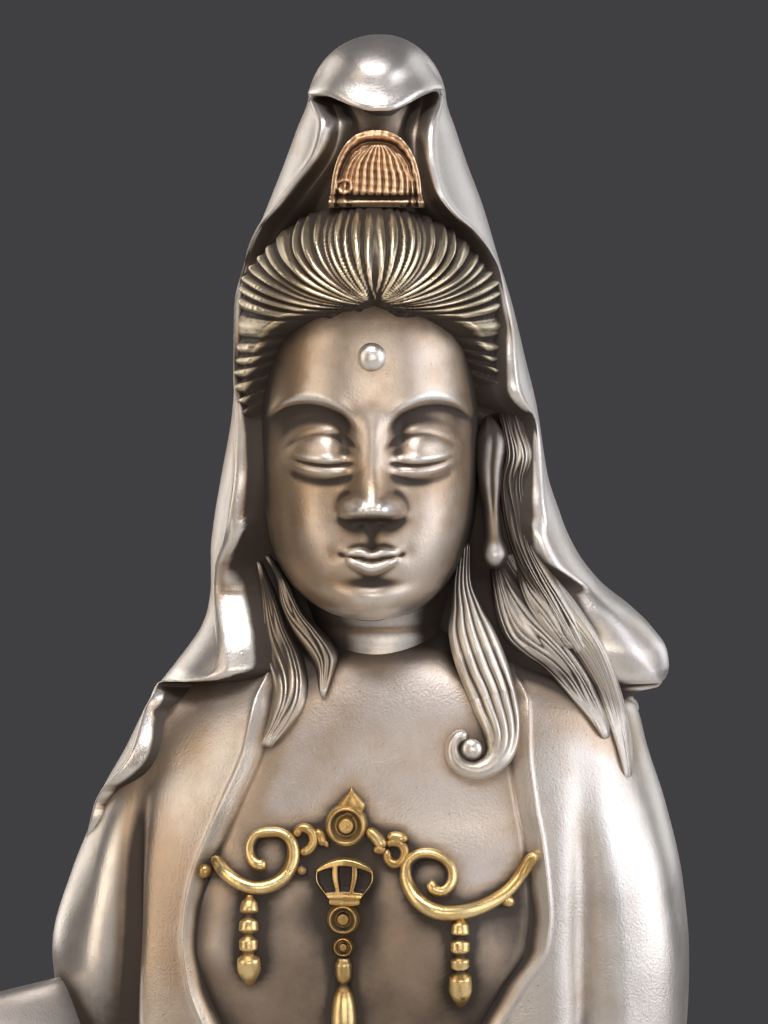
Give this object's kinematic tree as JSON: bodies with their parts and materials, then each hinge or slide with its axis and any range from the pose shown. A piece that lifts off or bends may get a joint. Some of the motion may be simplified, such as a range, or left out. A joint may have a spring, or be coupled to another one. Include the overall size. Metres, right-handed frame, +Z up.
{
  "type": "guanyin figure",
  "caption": "Standing hooded figure of cast bronze in a long robe, with open hands and a necklace, on a low round lotus base.",
  "frame": {"origin": "centre of the lotus base's flat underside", "axes": "+Z up along the figure, -Y the way the figure faces, +X to the right of someone looking at its front"},
  "size_m": [0.2052, 0.166, 0.62],
  "materials": {
    "silvered_bronze": "satin silvered bronze with brown patina in the hollows",
    "base_bronze": "darker patinated bronze, worn bright on the edges",
    "hair_bronze": "dark brown bronze with brass-coloured ridges",
    "gilt": "gilt, polished, dark in the hollows",
    "copper": "copper-coloured, satin"
  },
  "bodies": {
    "root": {"figure": "silvered_bronze", "lotus_base": "base_bronze"}
  },
  "joints": []
}
